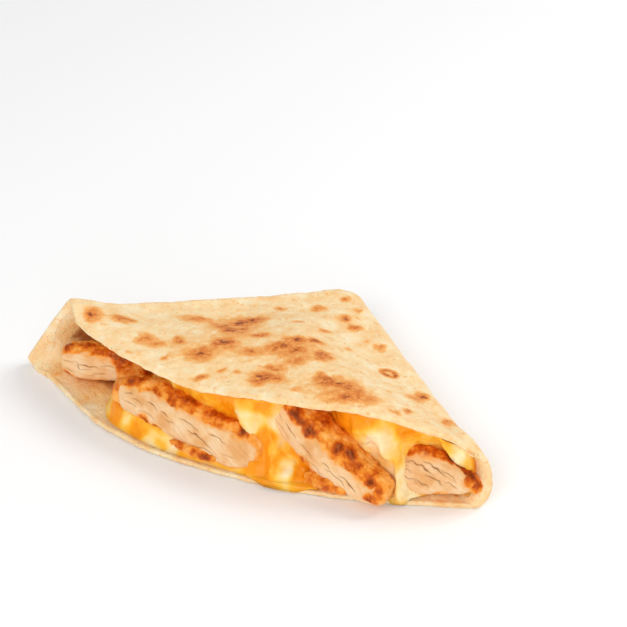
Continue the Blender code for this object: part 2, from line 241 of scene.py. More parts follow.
def under_surface(u, v, depth):
    """Points at this depth under the tortilla's outer face."""
    step = 0.004  # in u and v, to either side, for the slopes
    u, v = np.broadcast_arrays(np.asarray(u, float), np.asarray(v, float))
    across = outer_surface(u, np.clip(v + step, -1, 1)) - outer_surface(u, np.clip(v - step, -1, 1))
    forward = outer_surface(np.clip(u + step, 0, 1), v) - outer_surface(np.clip(u - step, 0, 1), v)
    normal = np.cross(across, forward)
    normal /= np.linalg.norm(normal, axis=-1, keepdims=True)
    return outer_surface(u, v) - normal * np.asarray(depth)[..., None]


# ---------------------------------------------------------------- helpers for meshes and materials


def cloud(points, size, seed=0.0):
    """Smooth noise, about -1 to 1, with lumps about size mm wide, at each point."""
    shift = Vector((seed * 13.7, seed * 7.3, seed * 3.1))
    flat = points.reshape(-1, 3) / size
    return np.array([noise.noise(Vector(p) + shift) for p in flat]).reshape(points.shape[:-1])


def grid_faces(rows, columns, close_columns=False):
    """Quads of a grid whose vertices are numbered row by row."""
    index = np.arange(rows * columns).reshape(rows, columns)
    if close_columns:
        index = np.concatenate([index, index[:, :1]], 1)
    return np.stack([index[:-1, :-1], index[:-1, 1:], index[1:, 1:], index[1:, :-1]], -1).reshape(-1, 4)


def closed_tube(rings, inside_out=False):
    """Points and faces of a tube through rings of points, with a fan of triangles over each end."""
    rows, columns = rings.shape[:2]
    points = np.concatenate([rings.reshape(-1, 3), rings[0].mean(0)[None], rings[-1].mean(0)[None]])
    quads = grid_faces(rows, columns, close_columns=True)
    if inside_out:
        quads = quads[:, ::-1]
    faces = [tuple(quad) for quad in quads]
    for row, middle in ((0, rows * columns), (rows - 1, rows * columns + 1)):
        turned = (row == 0) != inside_out
        for i in range(columns):
            a, b = row * columns + i, row * columns + (i + 1) % columns
            faces.append((b, a, middle) if turned else (a, b, middle))
    return points, faces


def make_piece(name, points, faces, attributes=None):
    """An object at the origin whose mesh has these points (mm), faces and named values per point."""
    mesh = bpy.data.meshes.new(name)
    mesh.from_pydata((points * MM).tolist(), [], [list(face) for face in faces])
    mesh.validate()
    for label, values in (attributes or {}).items():
        layer = mesh.attributes.new(label, "FLOAT", "POINT")
        layer.data.foreach_set("value", np.asarray(values, np.float32).ravel())
    mesh.shade_smooth()
    piece = bpy.data.objects.new(name, mesh)
    bpy.context.scene.collection.objects.link(piece)
    return piece


def linear(code):
    """A shader colour from an sRGB hex value such as F6DDB0."""
    channels = [int(code[i : i + 2], 16) / 255 for i in (0, 2, 4)]
    return [c / 12.92 if c <= 0.04045 else ((c + 0.055) / 1.055) ** 2.4 for c in channels] + [1.0]


def add(tree, kind, values=None, **settings):
    """Adds a node: settings are its properties, and values are its inputs, each a value or a socket."""
    node = tree.nodes.new(kind)
    for key, value in settings.items():
        setattr(node, key, value)
    for key, value in (values or {}).items():
        if isinstance(value, bpy.types.NodeSocket):
            tree.links.new(value, node.inputs[key])
        else:
            node.inputs[key].default_value = value
    return node


def ramp(tree, factor, stops):
    """A colour ramp through stops of (place, hex)."""
    node = add(tree, "ShaderNodeValToRGB", {"Fac": factor})
    elements = node.color_ramp.elements
    while len(elements) < len(stops):
        elements.new(0.5)
    for element, (place, code) in zip(elements, stops):
        element.position = place
        element.color = linear(code)
    return node.outputs["Color"]


def new_material(name):
    """A material with its node tree and its shader."""
    material = bpy.data.materials.new(name)
    material.use_nodes = True
    return material, material.node_tree, material.node_tree.nodes["Principled BSDF"]


# ---------------------------------------------------------------- materials


def baked_dough():
    """Griddled wheat tortilla: dry and matte, cream, with toasted clouds where blisters met the iron."""
    material, tree, shader = new_material("griddled_wheat_dough")
    here = add(tree, "ShaderNodeTexCoord").outputs["Object"]
    toast = add(tree, "ShaderNodeAttribute", attribute_name="toast").outputs["Fac"]
    inside = add(tree, "ShaderNodeAttribute", attribute_name="inside").outputs["Fac"]
    # the dough is uneven in clouds about 6 mm and 2.5 mm wide, with a crumb of about 1 mm
    clouds = {"Vector": here, "Scale": 210.0, "Detail": 7.0, "Roughness": 0.7}
    clouds = add(tree, "ShaderNodeTexNoise", clouds).outputs["Fac"]
    mottle = {"Vector": here, "Scale": 460.0, "Detail": 6.0, "Roughness": 0.72}
    mottle = add(tree, "ShaderNodeTexNoise", mottle).outputs["Fac"]
    crumb = {"Vector": here, "Scale": 1000.0, "Detail": 4.0, "Roughness": 0.6}
    crumb = add(tree, "ShaderNodeTexNoise", crumb).outputs["Fac"]
    dough = ramp(tree, clouds, ((0.32, "F2BC78"), (0.43, "F9CF94"), (0.55, "FBDDAA"), (0.7, "FDEBC8")))
    # toast is patchy: the same mottling breaks up each patch
    patchy = {0: mottle, 1: 3.1, 2: -0.6}
    patchy = add(tree, "ShaderNodeMath", patchy, operation="MULTIPLY_ADD").outputs[0]
    speckled = {0: crumb, 1: 0.8, 2: -0.4}
    speckled = add(tree, "ShaderNodeMath", speckled, operation="MULTIPLY_ADD").outputs[0]
    patchy = add(tree, "ShaderNodeMath", {0: patchy, 1: speckled}, operation="ADD").outputs[0]
    scorch = add(tree, "ShaderNodeMath", {0: patchy, 1: toast}, operation="MULTIPLY", use_clamp=True)
    scorch = scorch.outputs[0]
    # and the whole face has faint freckles of it
    faint = {"Value": mottle, "From Min": 0.54, "From Max": 0.7, "To Max": 0.38}
    faint = add(tree, "ShaderNodeMapRange", faint).outputs[0]
    scorch = add(tree, "ShaderNodeMath", {0: scorch, 1: faint}, operation="MAXIMUM").outputs[0]
    toasts = (
        (0.0, "FBDDAA"), (0.14, "FACA86"), (0.32, "F4AD5C"), (0.55, "E8903C"), (0.76, "D6741F"),
        (0.92, "B05610"), (1.0, "80400C"),
    )
    browned = ramp(tree, scorch, toasts)
    covered = {"Value": scorch, "From Min": 0.05, "From Max": 0.25}
    covered = add(tree, "ShaderNodeMapRange", covered, interpolation_type="SMOOTHSTEP").outputs[0]
    colour = {"Factor": covered, 6: dough, 7: browned}
    colour = add(tree, "ShaderNodeMix", colour, data_type="RGBA").outputs[2]
    # scorched specks of flour, about 0.3 mm across and 6 mm apart
    cells = add(tree, "ShaderNodeTexVoronoi", {"Vector": here, "Scale": 520.0})
    chosen = add(tree, "ShaderNodeSeparateColor", {"Color": cells.outputs["Color"]}).outputs[0]
    chosen = add(tree, "ShaderNodeMath", {0: chosen, 1: 0.8}, operation="GREATER_THAN").outputs[0]
    near = cells.outputs["Distance"]
    dots = {"Value": near, "From Min": 0.06, "From Max": 0.15, "To Min": 0.65, "To Max": 0.0}
    dots = add(tree, "ShaderNodeMapRange", dots).outputs[0]
    dots = add(tree, "ShaderNodeMath", {0: dots, 1: chosen}, operation="MULTIPLY").outputs[0]
    colour = {"Factor": dots, 6: colour, 7: linear("A06C33")}
    colour = add(tree, "ShaderNodeMix", colour, data_type="RGBA").outputs[2]
    # the inside is soft, unbaked and stained by fat from the cheese; further in from the rims it grows
    # darker, partly from that stain and partly as painted shade, and deep in the pocket it turns dark brown,
    # which is painted shade
    lining = ramp(tree, clouds, ((0.32, "ECAE5A"), (0.5, "F7C678"), (0.68, "FCD89A")))
    deep = {"Value": inside, "From Min": 0.7, "From Max": 1.0, "To Max": 0.85}
    deep = add(tree, "ShaderNodeMapRange", deep, interpolation_type="SMOOTHSTEP").outputs[0]
    lining = {"Factor": deep, 6: lining, 7: linear("B4601C")}
    lining = add(tree, "ShaderNodeMix", lining, data_type="RGBA").outputs[2]
    colour = {"Factor": inside, 6: colour, 7: lining}
    colour = add(tree, "ShaderNodeMix", colour, data_type="RGBA").outputs[2]
    relief = add(tree, "ShaderNodeMath", {0: crumb, 1: mottle}, operation="ADD")
    bump = add(tree, "ShaderNodeBump", {"Height": relief.outputs[0], "Strength": 0.75, "Distance": 0.42 * MM})
    tree.links.new(colour, shader.inputs["Base Color"])
    tree.links.new(bump.outputs["Normal"], shader.inputs["Normal"])
    shader.inputs["Roughness"].default_value = 0.62
    shader.inputs["Subsurface Weight"].default_value = 0.15
    shader.inputs["Subsurface Radius"].default_value = (1.0, 0.55, 0.25)
    shader.inputs["Subsurface Scale"].default_value = 1.2 * MM
    return material


def melted_cheese_stuff():
    """Cheddar and mozzarella melted together: smooth, wet with fat, orange and cream in slow swirls."""
    material, tree, shader = new_material("melted_cheddar_and_mozzarella")
    here = add(tree, "ShaderNodeTexCoord").outputs["Object"]
    cream = add(tree, "ShaderNodeAttribute", attribute_name="cream").outputs["Fac"]
    # cream says where there is more mozzarella, and swirls about 4 mm wide blend the two
    swirl = {"Vector": here, "Scale": 260.0, "Detail": 3.0, "Distortion": 1.2}
    swirl = add(tree, "ShaderNodeTexNoise", swirl).outputs["Fac"]
    mixed = add(tree, "ShaderNodeMath", {0: swirl, 1: 0.5, 2: -0.25}, operation="MULTIPLY_ADD").outputs[0]
    mixed = add(tree, "ShaderNodeMath", {0: mixed, 1: cream}, operation="ADD", use_clamp=True).outputs[0]
    mixes = ((0.0, "F9960E"), (0.25, "FFAA1E"), (0.46, "FFC042"), (0.68, "FFD480"), (1.0, "FFE6B4"))
    colour = ramp(tree, mixed, mixes)
    fine = add(tree, "ShaderNodeTexNoise", {"Vector": here, "Scale": 420.0, "Detail": 2.0})
    bump = add(tree, "ShaderNodeBump", {"Height": fine.outputs["Fac"], "Strength": 0.2, "Distance": 0.4 * MM})
    tree.links.new(colour, shader.inputs["Base Color"])
    tree.links.new(bump.outputs["Normal"], shader.inputs["Normal"])
    shader.inputs["Roughness"].default_value = 0.3
    shader.inputs["Subsurface Weight"].default_value = 0.2
    shader.inputs["Subsurface Radius"].default_value = (1.0, 0.65, 0.25)
    shader.inputs["Subsurface Scale"].default_value = 2.0 * MM
    shader.inputs["Specular IOR Level"].default_value = 0.3
    shader.inputs["Specular Tint"].default_value = linear("FFDC98")
    shader.inputs["Coat Weight"].default_value = 0.22
    shader.inputs["Coat Roughness"].default_value = 0.12
    return material


def griddled_chicken():
    """Chicken breast: pale cut muscle in long fibres, and a seared outside, glazed orange to dark brown."""
    material, tree, shader = new_material("griddled_chicken_breast")
    here = add(tree, "ShaderNodeTexCoord").outputs["Object"]
    sear = add(tree, "ShaderNodeAttribute", attribute_name="sear").outputs["Fac"]
    char = add(tree, "ShaderNodeAttribute", attribute_name="char").outputs["Fac"]
    crack = add(tree, "ShaderNodeAttribute", attribute_name="crack").outputs["Fac"]
    run = add(tree, "ShaderNodeAttribute", attribute_name="run").outputs["Vector"]
    # the meat's fibres run along the piece; its skin browns unevenly, in spots about 3 mm wide
    fibres = {"Vector": run, "Scale": 1.0, "Detail": 4.0, "Roughness": 0.6}
    fibres = add(tree, "ShaderNodeTexNoise", fibres).outputs["Fac"]
    lumps = {"Vector": here, "Scale": 330.0, "Detail": 4.0, "Roughness": 0.6}
    lumps = add(tree, "ShaderNodeTexNoise", lumps).outputs["Fac"]
    muscle = ramp(tree, fibres, ((0.24, "E6BE90"), (0.42, "EDC89C"), (0.6, "F2D2A8"), (0.8, "F6DAB4")))
    cooked = add(tree, "ShaderNodeMath", {0: lumps, 1: 2.0, 2: -1.02}, operation="MULTIPLY_ADD").outputs[0]
    cooked = add(tree, "ShaderNodeMath", {0: cooked, 1: char}, operation="ADD", use_clamp=True).outputs[0]
    crusts = (
        (0.0, "FAB25C"), (0.22, "F29A38"), (0.42, "E27C1E"), (0.6, "C8580E"), (0.82, "A03E0A"),
        (1.0, "7C2C08"),
    )
    crust = ramp(tree, cooked, crusts)
    glazed = {"Value": sear, "From Min": 0.35, "From Max": 0.75}
    glazed = add(tree, "ShaderNodeMapRange", glazed, interpolation_type="SMOOTHSTEP").outputs[0]
    stained = {"Value": sear, "From Min": 0.05, "From Max": 0.45, "To Max": 0.62}
    stained = add(tree, "ShaderNodeMapRange", stained).outputs[0]
    # the cut face has broad patches that are a little browner
    broad = add(tree, "ShaderNodeTexNoise", {"Vector": here, "Scale": 190.0, "Detail": 3.0}).outputs["Fac"]
    shade = ramp(tree, broad, ((0.34, "EEC898"), (0.5, "FCEEDC"), (0.66, "FFFFFF")))
    colour = {"Factor": 0.85, 6: muscle, 7: shade}
    colour = add(tree, "ShaderNodeMix", colour, data_type="RGBA", blend_type="MULTIPLY").outputs[2]
    # over it lie a stain near the skin, the skin itself, and painted shade in the cracks between the fibres
    for share, over in ((stained, linear("F2A850")), (glazed, crust), (crack, linear("8A4414"))):
        colour = {"Factor": share, 6: colour, 7: over}
        colour = add(tree, "ShaderNodeMix", colour, data_type="RGBA").outputs[2]
    # seared skin is wet with glaze, cut meat is duller
    wet = {"Value": sear, "From Min": 0.2, "From Max": 0.7, "To Min": 0.5, "To Max": 0.3}
    wet = add(tree, "ShaderNodeMapRange", wet).outputs[0]
    fine = add(tree, "ShaderNodeTexNoise", {"Vector": here, "Scale": 900.0, "Detail": 3.0})
    height = {0: fibres, 1: 0.4, 2: fine.outputs["Fac"]}
    height = add(tree, "ShaderNodeMath", height, operation="MULTIPLY_ADD").outputs[0]
    bump = add(tree, "ShaderNodeBump", {"Height": height, "Strength": 0.4, "Distance": 0.25 * MM})
    tree.links.new(colour, shader.inputs["Base Color"])
    tree.links.new(wet, shader.inputs["Roughness"])
    tree.links.new(bump.outputs["Normal"], shader.inputs["Normal"])
    shader.inputs["Subsurface Weight"].default_value = 0.18
    shader.inputs["Subsurface Radius"].default_value = (1.0, 0.45, 0.25)
    shader.inputs["Subsurface Scale"].default_value = 1.5 * MM
    shader.inputs["Specular IOR Level"].default_value = 0.5
    shader.inputs["Specular Tint"].default_value = linear("FFC080")
    return material


def pale_floor():
    """A matte white board: an even, pale ground with no gloss."""
    material, _, shader = new_material("matte_white_board")
    shader.inputs["Base Color"].default_value = linear("FAFAFA")
    shader.inputs["Roughness"].default_value = 0.9
    return material


# ---------------------------------------------------------------- geometry nodes

# Lumps of each surface, in mm: broad width and height, fine width and height
DOUGH_LUMPS = (7.0, 0.4, 2.2, 0.22)
CHEESE_LUMPS = (3.4, 0.6, 1.5, 0.18)
MEAT_LUMPS = (2.0, 0.18, 0.8, 0.12)


def relief_tree():
    """Geometry Nodes: raises and lowers a surface in lumps, as far as its value "loose" allows."""
    tree = bpy.data.node_groups.new("Baked relief", "GeometryNodeTree")
    interface = tree.interface
    interface.new_socket("Geometry", in_out="INPUT", socket_type="NodeSocketGeometry")
    for label in ("Broad width", "Broad height", "Fine width", "Fine height"):
        interface.new_socket(label, in_out="INPUT", socket_type="NodeSocketFloat")
    interface.new_socket("Material", in_out="INPUT", socket_type="NodeSocketMaterial")
    interface.new_socket("Geometry", in_out="OUTPUT", socket_type="NodeSocketGeometry")
    given = add(tree, "NodeGroupInput").outputs
    place = add(tree, "GeometryNodeInputPosition").outputs[0]
    heights = []
    for label in ("Broad", "Fine"):
        width, height = given[label + " width"], given[label + " height"]
        scale = add(tree, "ShaderNodeMath", {0: 1.0, 1: width}, operation="DIVIDE").outputs[0]
        waves = {"Vector": place, "Scale": scale, "Detail": 2.0}
        waves = add(tree, "ShaderNodeTexNoise", waves).outputs["Fac"]
        centred = add(tree, "ShaderNodeMath", {0: waves, 1: 0.5}, operation="SUBTRACT").outputs[0]
        doubled = add(tree, "ShaderNodeMath", {0: height, 1: 2.0}, operation="MULTIPLY").outputs[0]
        heights.append(add(tree, "ShaderNodeMath", {0: centred, 1: doubled}, operation="MULTIPLY").outputs[0])
    total = add(tree, "ShaderNodeMath", {0: heights[0], 1: heights[1]}, operation="ADD").outputs[0]
    loose = add(tree, "GeometryNodeInputNamedAttribute", {"Name": "loose"}, data_type="FLOAT")
    loose = loose.outputs["Attribute"]
    total = add(tree, "ShaderNodeMath", {0: total, 1: loose}, operation="MULTIPLY").outputs[0]
    normal = add(tree, "GeometryNodeInputNormal").outputs[0]
    offset = add(tree, "ShaderNodeVectorMath", {0: normal, "Scale": total}, operation="SCALE").outputs[0]
    moved = add(tree, "GeometryNodeSetPosition", {"Geometry": given["Geometry"], "Offset": offset}).outputs[0]
    real = add(tree, "GeometryNodeRealizeInstances", {"Geometry": moved}).outputs[0]
    covered = add(tree, "GeometryNodeSetMaterial", {"Geometry": real, "Material": given["Material"]})
    add(tree, "NodeGroupOutput", {0: covered.outputs[0]})
    return tree


def apply_tree(piece, tree, **values):
    """Runs a geometry tree on the piece with these named inputs, and keeps the result as its plain mesh."""
    modifier = piece.modifiers.new(tree.name, "NODES")
    modifier.node_group = tree
    for item in tree.interface.items_tree:
        label = item.name.lower().replace(" ", "_")
        if item.in_out == "INPUT" and label in values:
            modifier[item.identifier] = values[label]
    evaluated = piece.evaluated_get(bpy.context.evaluated_depsgraph_get())
    mesh = bpy.data.meshes.new_from_object(evaluated)
    piece.modifiers.remove(modifier)
    piece.data = mesh
    mesh.shade_smooth()


def settle(piece):
    """Keeps every point of a piece inside the frame's box."""
    count = len(piece.data.vertices)
    points = np.empty(count * 3)
    piece.data.vertices.foreach_get("co", points)
    points = np.clip(points.reshape(-1, 3), np.array(FRAME_BOX[0]), np.array(FRAME_BOX[1]))
    piece.data.vertices.foreach_set("co", points.ravel())
    piece.data.update()


def roughen(piece, tree, material, lumps):
    """Gives a piece its material and its lumps: broad width and height, fine width and height, in mm."""
    names = ("broad_width", "broad_height", "fine_width", "fine_height")
    sizes = {name: size * MM for name, size in zip(names, lumps)}
    apply_tree(piece, tree, material=material, **sizes)
    settle(piece)


# ---------------------------------------------------------------- the tortilla

SHEET_COLUMNS = 236
TOP_ROWS, FOLD_ROWS, BOTTOM_ROWS = 96, 22, 44
EDGE_STATIONS = (0.0, 0.0005, 0.0014, 0.003, 0.006)  # values of u that round off the ends of the folds
SOFTENING_ROUNDS = 40  # how often the inner face is evened out at the folds, where it would crease


def sheet_columns():
    """Values of u, closer together at the ends."""
    inner = np.linspace(EDGE_STATIONS[-1], 1.0 - EDGE_STATIONS[-1], SHEET_COLUMNS)
    return np.concatenate([EDGE_STATIONS[:-1], inner, 1.0 - np.array(EDGE_STATIONS[-2::-1])])


def sheet_rows():
    """Values of v, much closer together towards the rims, where the edge is rounded."""
    near_rim = (np.arange(TOP_ROWS + 1) / TOP_ROWS) ** 1.5
    near_low_rim = (np.arange(BOTTOM_ROWS + 1) / BOTTOM_ROWS) ** 1.8
    top = FOLD_ZONE + (1.0 - FOLD_ZONE) * (1.0 - near_rim[::-1])
    bottom = -(FOLD_ZONE + (1.0 - FOLD_ZONE) * (1.0 - near_low_rim))
    fold = np.linspace(-FOLD_ZONE, FOLD_ZONE, FOLD_ROWS + 1)
    return np.concatenate([bottom[:-1], fold[:-1], top])


def toasting(points):
    """How toasted the outer face is, 0 to 1: dark cores in wide pale scorches that run together."""
    x, y, z = points[..., 0], points[..., 1], points[..., 2]
    turn = math.radians(TOAST_TURN)
    wander_x = x + 1.3 * cloud(points, 4.5, 4.0)
    wander_y = y + 1.3 * cloud(points, 4.5, 6.0)
    plain = np.ones_like(x)
    halo = np.zeros_like(x)
    for spot_x, spot_y, wide, deep, dark in TOAST:
        dx, dy = wander_x - spot_x, wander_y - spot_y
        a = (dx * math.cos(turn) + dy * math.sin(turn)) / wide
        b = (dy * math.cos(turn) - dx * math.sin(turn)) / deep
        away = np.sqrt(a * a + b * b)
        plain = plain * (1.0 - dark * smooth((1.8 - away) / 1.7))
        halo = halo + dark * np.exp(-((away / 2.3) ** 2))
    ring_x, ring_y, ring_radius, ring_width, ring_dark = TOAST_RING
    away = np.hypot(x - ring_x, (y - ring_y) * 1.1)
    ring = ring_dark * np.exp(-(((away - ring_radius) / (0.5 * ring_width)) ** 2))
    core = 1.0 - plain
    return np.maximum(core + 0.26 * np.minimum(halo, 1.2) * (1.0 - core), ring) * smooth((z - 9.0) / 5.0)


def hidden_toasting(points):
    """Toasted patches on the faces that no list covers: the underside and the folds' outer sides."""
    patches = cloud(points, 8.5, 21.0) + 0.55 * cloud(points, 3.4, 22.0)
    return np.clip((patches - 0.28) * 2.2, 0.0, 0.85)


def softened(grid, weight, rounds):
    """The grid's points pulled towards their neighbours across the sheet, as far as weight (0 to 1) says."""
    grid = grid.copy()
    for _ in range(rounds):
        pull = 0.5 * (grid[:, :-2] + grid[:, 2:]) - grid[:, 1:-1]
        grid[:, 1:-1] += 0.5 * pull * weight[:, 1:-1, None]
    return grid


def build_tortilla(tree, material):
    """The folded sheet: an outer and an inner face that meet in a rounded edge all round."""
    u, v = np.broadcast_arrays(sheet_columns()[:, None], sheet_rows()[None, :])
    fold_run = sum(fold_lengths())
    upper = v > 0
    flat = np.clip((np.abs(v) - FOLD_ZONE) / (1.0 - FOLD_ZONE), 0.0, 1.0)
    reach = sheet_reach(u, upper)
    rim_gap = (1.0 - np.abs(v)) / (1.0 - FOLD_ZONE) * reach
    end_gap = np.minimum(u, 1.0 - u) * fold_run
    radius = SHEET / 2

    def rounded(gap):
        return np.clip(1.0 - np.clip(1.0 - gap / radius, 0.0, 1.0) ** 3, 0.0, 1.0) ** (1 / 3)

    # the sheet thins towards its rims and ends, and its edges are rounded
    edge_gap = np.minimum(rim_gap + 20.0 * (1.0 - smooth(flat / 0.2)), end_gap)
    thinned = 1.0 - RIM_THINNING * np.exp(-((edge_gap / 5.0) ** 2))
    half = radius * rounded(rim_gap) * rounded(end_gap) * thinned
    middle = under_surface(u, v, radius * thinned)
    # the rims are torn a little in and out
    ragged = np.where(upper, raggedness(u, 1.0), raggedness(u, 2.0)) - 0.35
    ragged = ragged * np.exp(-rim_gap / 3.0) * smooth(flat * 1.4) * smooth(end_gap / 4.0)
    ragged = ragged * smooth(reach / CALM_REACH)
    outwards = middle - under_surface(u, np.clip(v - np.sign(v) * 0.02, -1, 1), radius * thinned)
    outwards /= np.maximum(np.linalg.norm(outwards, axis=-1, keepdims=True), 1e-6)
    middle = middle + outwards * ragged[..., None]
    normal = under_surface(u, v, radius * thinned) - outer_surface(u, v)
    normal /= np.linalg.norm(normal, axis=-1, keepdims=True)
    outer = middle - normal * half[..., None]
    inner = middle + normal * half[..., None]
    at_fold = 1.0 - smooth((np.abs(v) - FOLD_ZONE) / 0.2)
    inner = softened(inner, at_fold * smooth(end_gap / 2.0), SOFTENING_ROUNDS)

    # the two faces share their points along the border
    rows, columns = u.shape
    border = np.zeros(u.shape, bool)
    border[0], border[-1], border[:, 0], border[:, -1] = True, True, True, True
    index = np.arange(u.size).reshape(u.shape)
    other = np.where(border, index, 0)
    other[~border] = u.size + np.arange((~border).sum())
    quads = grid_faces(rows, columns)
    lining = other.ravel()[quads][:, ::-1]
    points = np.concatenate([outer.reshape(-1, 3), inner[~border]])
    # toast fades close to the rims, and further in the lining is more stained and carries more painted shade
    seen = np.where(v > 0.05, toasting(outer), hidden_toasting(outer))
    toast = seen * (1.0 - 0.7 * np.exp(-rim_gap / 1.8))
    stain_and_shade_reach = np.minimum(rim_gap, 1.4 * end_gap)[~border]
    toast = np.concatenate([toast.ravel(), 0.5 * np.clip(cloud(inner[~border], 5.0, 31.0) - 0.25, 0.0, 1.0)])
    inside = np.concatenate([np.zeros(u.size), smooth((stain_and_shade_reach - 1.0) / 15.0)])
    off_floor = smooth(points[:, 2] - 0.25)
    values = {"toast": toast, "inside": inside, "loose": off_floor}
    piece = make_piece("folded_tortilla", points, np.concatenate([quads, lining]), values)
    roughen(piece, tree, material, DOUGH_LUMPS)
    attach(piece, "root")
    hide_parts("tortilla")


# ---------------------------------------------------------------- the melted cheese

CHEESE_SPAN = (0.205, 0.974)
CHEESE_COLUMNS, CHEESE_BACK_ROWS, CHEESE_FRONT_ROWS = 460, 24, 120
HELD_TOP, HELD_BOTTOM = 0.12, 0.09  # shares of the front, at its edges, where it clings to the sheets
CHEESE_GAP = 0.1  # between the cheese and the sheet, so that their faces don't coincide
SWIRL_WIDTH, SWIRL_DRIFT = 3.4, 1.6  # how wide the swirls of colour are, and how far they carry it
# Paired with u: how far inside each rim the cheese ends. Below 0 it has run out over the lower rim.
CHEESE_BOTTOM_SETBACK = (
    (0.0, 26.0), (0.19, 16.0), (0.205, 7.0), (0.22, 3.4), (0.235, 1.9), (0.255, 1.2), (0.28, 1.0),
    (0.34, 0.6), (0.5, 0.6), (0.57, 0.2), (0.61, -0.3), (0.66, -0.3), (0.7, 0.2), (0.78, 0.6),
    (0.83, 0.6), (0.86, -0.5), (0.885, 0.2), (0.91, 3.0), (1.0, 4.0),
)
CHEESE_TOP_SETBACK = (
    (0.0, 34.0), (0.165, 30.0), (0.2, 22.0), (0.24, 10.0), (0.35, 3.2), (0.54, 2.2), (0.58, 5.0),
    (0.61, 8.0), (0.66, 8.0), (0.7, 4.0), (0.74, 2.4), (0.8, 2.6), (0.95, 5.0), (1.0, 6.0),
)
# The front of the cheese from the upper sheet to the lower one. Paired with x: how far it is hollowed in
# behind the strips.
CHEESE_HOLLOW = (
    (-45.0, 5.0), (-38.0, 6.0), (-33.0, 7.0), (-10.0, 7.0), (-1.0, 6.4), (1.5, 5.0), (4.5, 2.4),
    (6.5, 1.0), (8.5, 1.8), (10.5, 4.4), (13.0, 5.6), (26.0, 5.6), (29.0, 4.6), (33.5, 3.4), (37.0, 2.0),
    (40.0, 1.0), (42.5, 2.6), (45.5, 6.0), (52.0, 7.0), (58.0, 4.0), (64.0, 2.5),
)
HOLLOW_DRIFT = 8.0  # how far the hollows drift to the right on their way down
# Paired with u: how quickly the front falls (1 is straight, more is an L), and how high its lip stands
# along the lower sheet.
CHEESE_FALL = (
    (0.165, 6.0), (0.2, 5.0), (0.24, 3.0), (0.35, 2.4), (0.46, 2.4), (0.52, 1.7), (0.57, 1.1),
    (0.62, 1.0), (0.66, 1.2), (0.72, 2.0), (0.82, 1.3), (0.86, 1.1), (0.89, 1.6), (1.0, 2.0),
)
CHEESE_LIP = (
    (0.15, 2.0), (0.2, 3.2), (0.3, 3.8), (0.4, 3.6), (0.5, 2.8), (0.6, 1.8), (0.7, 1.6), (0.86, 1.8),
    (0.9, 1.0), (1.0, 1.0),
)
# Thick runs of cheese down the front: x at the top, x at the bottom, half width, how far it stands out
CHEESE_RUNS = (
    (5.0, 8.5, 2.0, 1.2), (10.0, 12.0, 1.3, -0.9), (12.0, 19.0, 2.0, 0.8), (19.5, 22.5, 1.5, 0.7),
    (37.5, 47.5, 2.4, 1.8), (33.5, 40.0, 1.6, 0.8), (42.5, 43.5, 1.2, -0.8), (56.5, 60.0, 2.6, 2.4),
    (-28.5, -28.0, 2.0, 0.9), (-18.0, -19.0, 3.0, 0.7),
)
# Where the front of the cheese is cream (above 0) or orange (below 0): x, z, size, how much
CHEESE_SHADES = (
    (5.6, 18.0, 2.6, 0.9), (7.6, 13.5, 2.4, 0.6), (14.0, 15.0, 2.6, 0.75), (16.0, 11.0, 2.4, 0.6),
    (18.2, 4.0, 2.4, 0.9), (4.5, 4.0, 2.6, 0.5), (38.0, 18.0, 3.4, 0.9), (40.0, 14.0, 3.0, 0.7),
    (46.0, 9.5, 2.6, 0.8), (47.8, 4.0, 2.6, 0.9), (59.0, 14.0, 3.4, 1.0), (-28.0, 6.0, 2.6, 0.7),
    (-19.0, 3.4, 3.0, 0.6), (-13.0, 4.0, 2.2, 0.5), (-23.5, 2.4, 1.8, -0.7), (-16.0, 2.6, 1.7, -0.6),
    (-10.0, 2.4, 1.8, -0.5), (10.4, 20.0, 2.2, -0.9), (11.6, 12.0, 2.0, -0.8), (12.0, 4.5, 2.4, -0.8),
    (22.0, 5.0, 2.4, -0.7), (15.5, 8.0, 1.8, -0.4), (0.0, 19.0, 6.0, -0.8), (28.0, 20.0, 5.0, -0.7),
    (36.0, 21.0, 3.2, -0.8), (46.0, 20.0, 3.0, -0.7), (-31.5, 5.0, 2.2, -0.9), (-25.0, 4.6, 2.4, -0.5),
    (-20.0, 6.6, 2.6, -0.4), (44.6, 11.0, 1.8, -0.6), (62.5, 12.0, 3.0, -0.9), (8.6, 5.0, 1.8, -0.4),
)


def share_at(u, side, setback):
    """The v that lies setback inside the upper (1) or lower (-1) rim."""
    reach = sheet_reach(u, side > 0)
    share = np.clip(1.0 - setback / np.maximum(reach, setback * 1.1), 0.0, 1.0)
    return side * (FOLD_ZONE + share * (1.0 - FOLD_ZONE))


